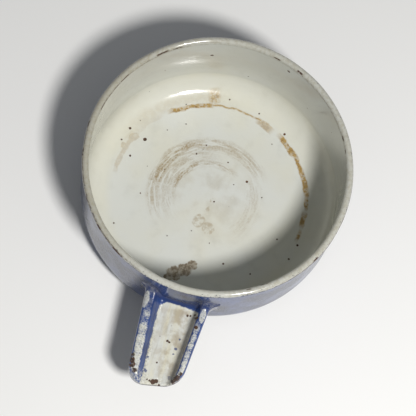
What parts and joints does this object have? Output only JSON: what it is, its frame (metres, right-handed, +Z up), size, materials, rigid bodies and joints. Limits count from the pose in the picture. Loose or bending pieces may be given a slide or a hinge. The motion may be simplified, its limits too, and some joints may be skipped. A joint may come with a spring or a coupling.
{
  "type": "shaving mug",
  "caption": "Shallow round enamelled sheet-steel shaving bowl with a beaded rim and one short stub handle pressed as a thumb trough.",
  "frame": {"origin": "On the bowl's axis at the standing plane, the centre of the ring that the bowl stands on.", "axes": "+Z up along the bowl's axis; -Y towards the tip of the handle; +X to the right seen from the handle's tip, looking at the bowl."},
  "size_m": [0.11, 0.1445, 0.045],
  "materials": {
    "sheet_steel": "bare rusting sheet steel",
    "weld_metal": "bare weld metal",
    "ground_enamel": "dark glossy ground coat",
    "white_enamel": "glossy white enamel, worn",
    "blue_enamel": "glossy cobalt blue enamel, worn"
  },
  "bodies": {
    "root": {"bowl_pressing": "sheet_steel", "handle_pressing": "sheet_steel", "handle_weld_beads": "weld_metal", "bowl_ground_coat": "ground_enamel", "handle_ground_coat": "ground_enamel", "bowl_white_lining": "white_enamel", "bowl_blue_jacket": "blue_enamel", "handle_white_panel": "white_enamel", "handle_blue_coat": "blue_enamel"}
  },
  "joints": []
}
